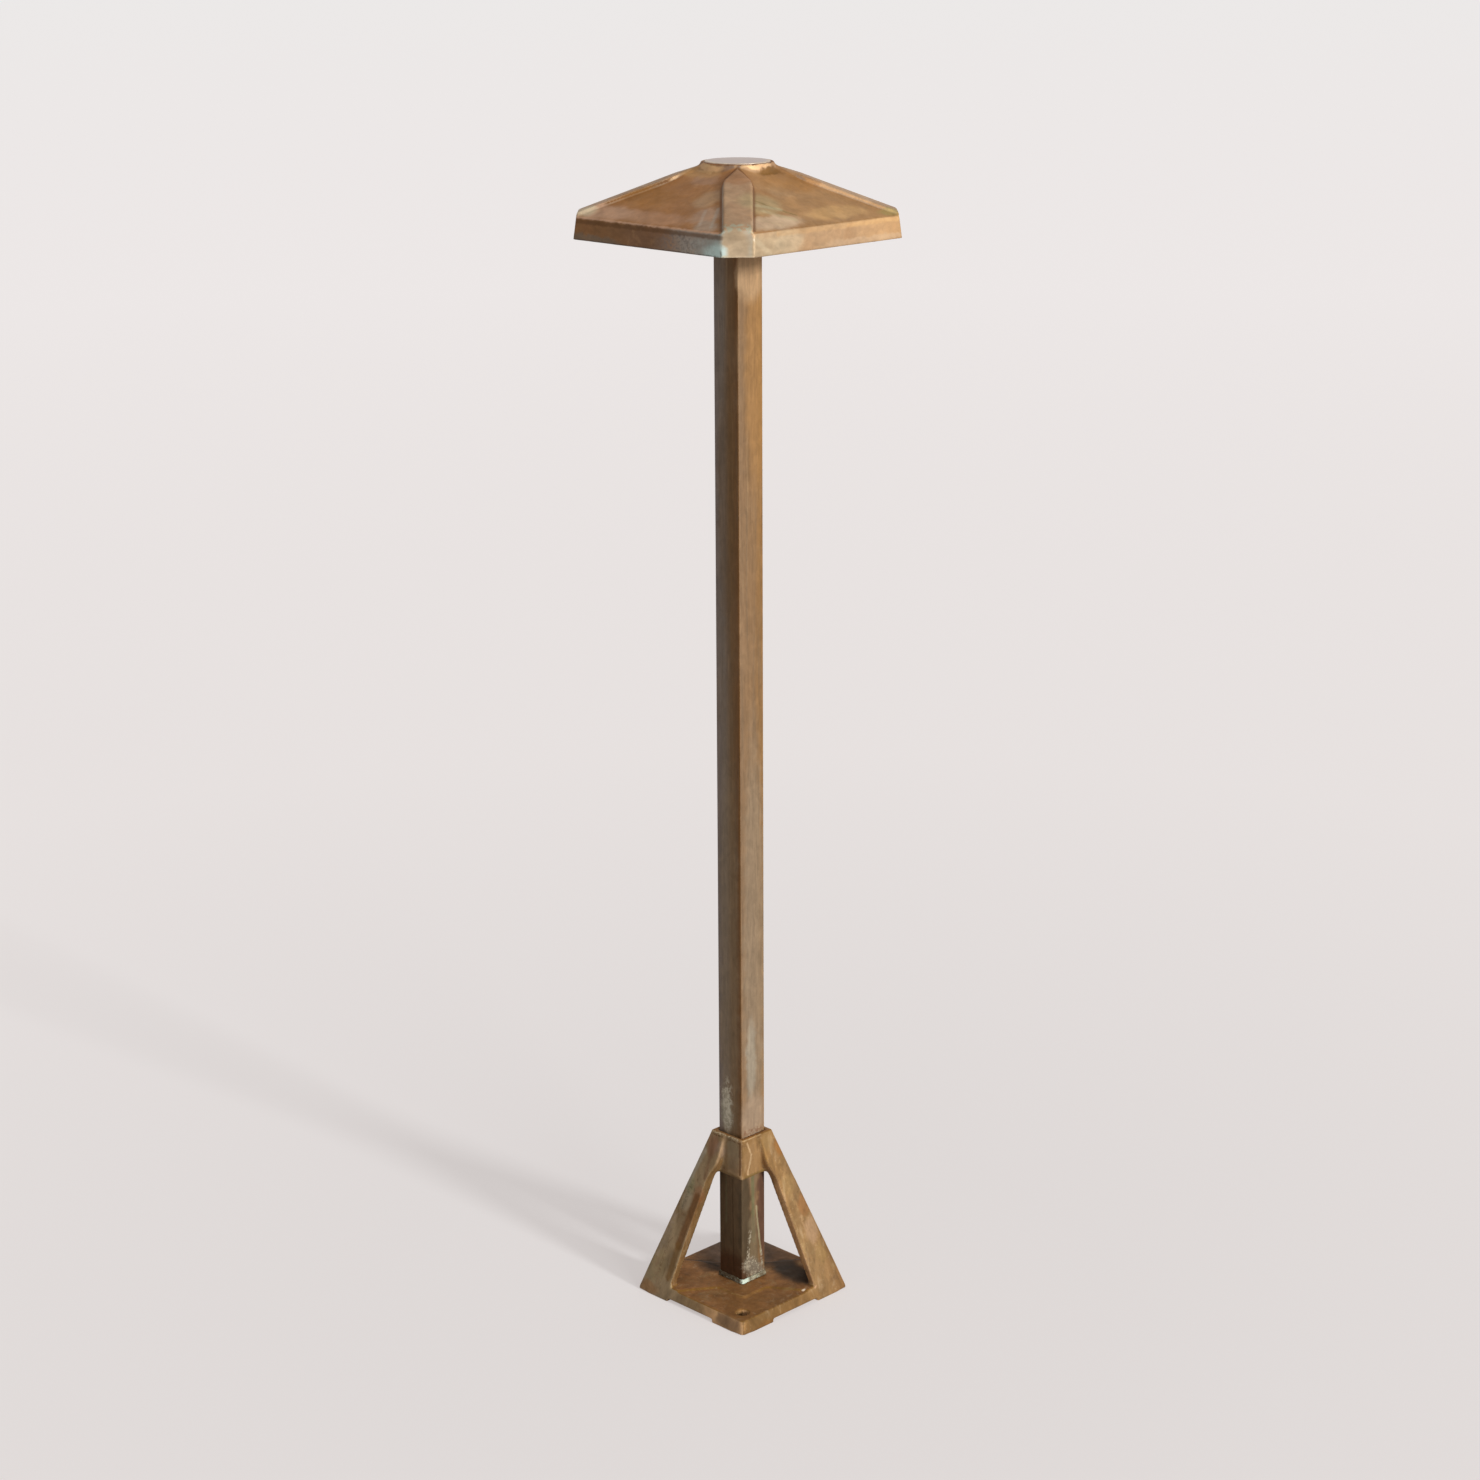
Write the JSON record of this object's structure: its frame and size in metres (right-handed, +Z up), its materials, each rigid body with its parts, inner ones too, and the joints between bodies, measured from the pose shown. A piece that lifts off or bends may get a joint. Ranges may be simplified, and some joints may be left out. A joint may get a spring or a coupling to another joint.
{
  "type": "garden post light",
  "caption": "Low garden post light: ribbed pyramid hat of cast brass over a lamp and glass, on a square tube in an open pyramid base frame.",
  "frame": {"origin": "middle of the base plate's underside, on the surface that the light stands on", "axes": "+Z up along the post; the sides of plate, post and hat lie along X and Y; the open front corner is at +X -Y"},
  "size_m": [0.183, 0.183, 0.8879],
  "materials": {
    "cast_brass": "weathered casting",
    "tube_brass": "weathered drawn tube",
    "hub_brass": "turned, dull",
    "cap_metal": "satin",
    "steel": "plain",
    "bronze": "turned",
    "ceramic": "matt",
    "lamp_glass": "clear",
    "frosted_glass": "frosted",
    "rubber": "matt",
    "silicone": "satin",
    "nylon": "satin",
    "sealant": "matt"
  },
  "bodies": {
    "post": {"base_casting": "cast_brass", "post_tube": "tube_brass", "foot_sealant": "sealant", "collar_screws": "steel", "wire_bush": "rubber", "crimp_splices": "nylon", "lamp_leads": "silicone", "post_hub": "hub_brass", "hub_screws": "steel", "lampholder": "ceramic", "lampholder_contacts": "bronze", "lampholder_screws": "steel", "glass_gasket": "silicone", "glass_cover": "frosted_glass", "glass_ring": "hub_brass"},
    "hat": {"hat_carrier": "hub_brass", "hat_casting": "cast_brass", "hat_screw": "steel", "hat_washer": "steel"},
    "cap": {"top_cap": "cap_metal", "cap_o_ring": "silicone"},
    "lamp": {"lamp_capsule": "lamp_glass", "lamp_pins": "steel", "lamp_filament": "steel"},
    "screw_left": {"thumb_screw_left": "bronze"},
    "screw_right": {"thumb_screw_right": "bronze"}
  },
  "joints": [
    {"name": "hat_lift", "type": "slide", "parent": "post", "child": "hat", "axis": [0, 0, 1], "range_m": [0, 0.05]},
    {"name": "cap_lift", "type": "slide", "parent": "hat", "child": "cap", "axis": [0, 0, 1], "range_m": [0, 0.008]},
    {"name": "lamp_pull", "type": "slide", "parent": "post", "child": "lamp", "axis": [0, 0, 1], "range_m": [0, 0.008]},
    {"name": "screw_left_turn", "type": "hinge", "parent": "hat", "child": "screw_left", "pos_m": [0, 0, 0.82715], "axis": [-0.7071, -0.7071, 0], "range_deg": [0, 720]},
    {"name": "screw_right_turn", "type": "hinge", "parent": "hat", "child": "screw_right", "pos_m": [0, 0, 0.82715], "axis": [0.7071, 0.7071, 0], "range_deg": [0, 720]}
  ]
}
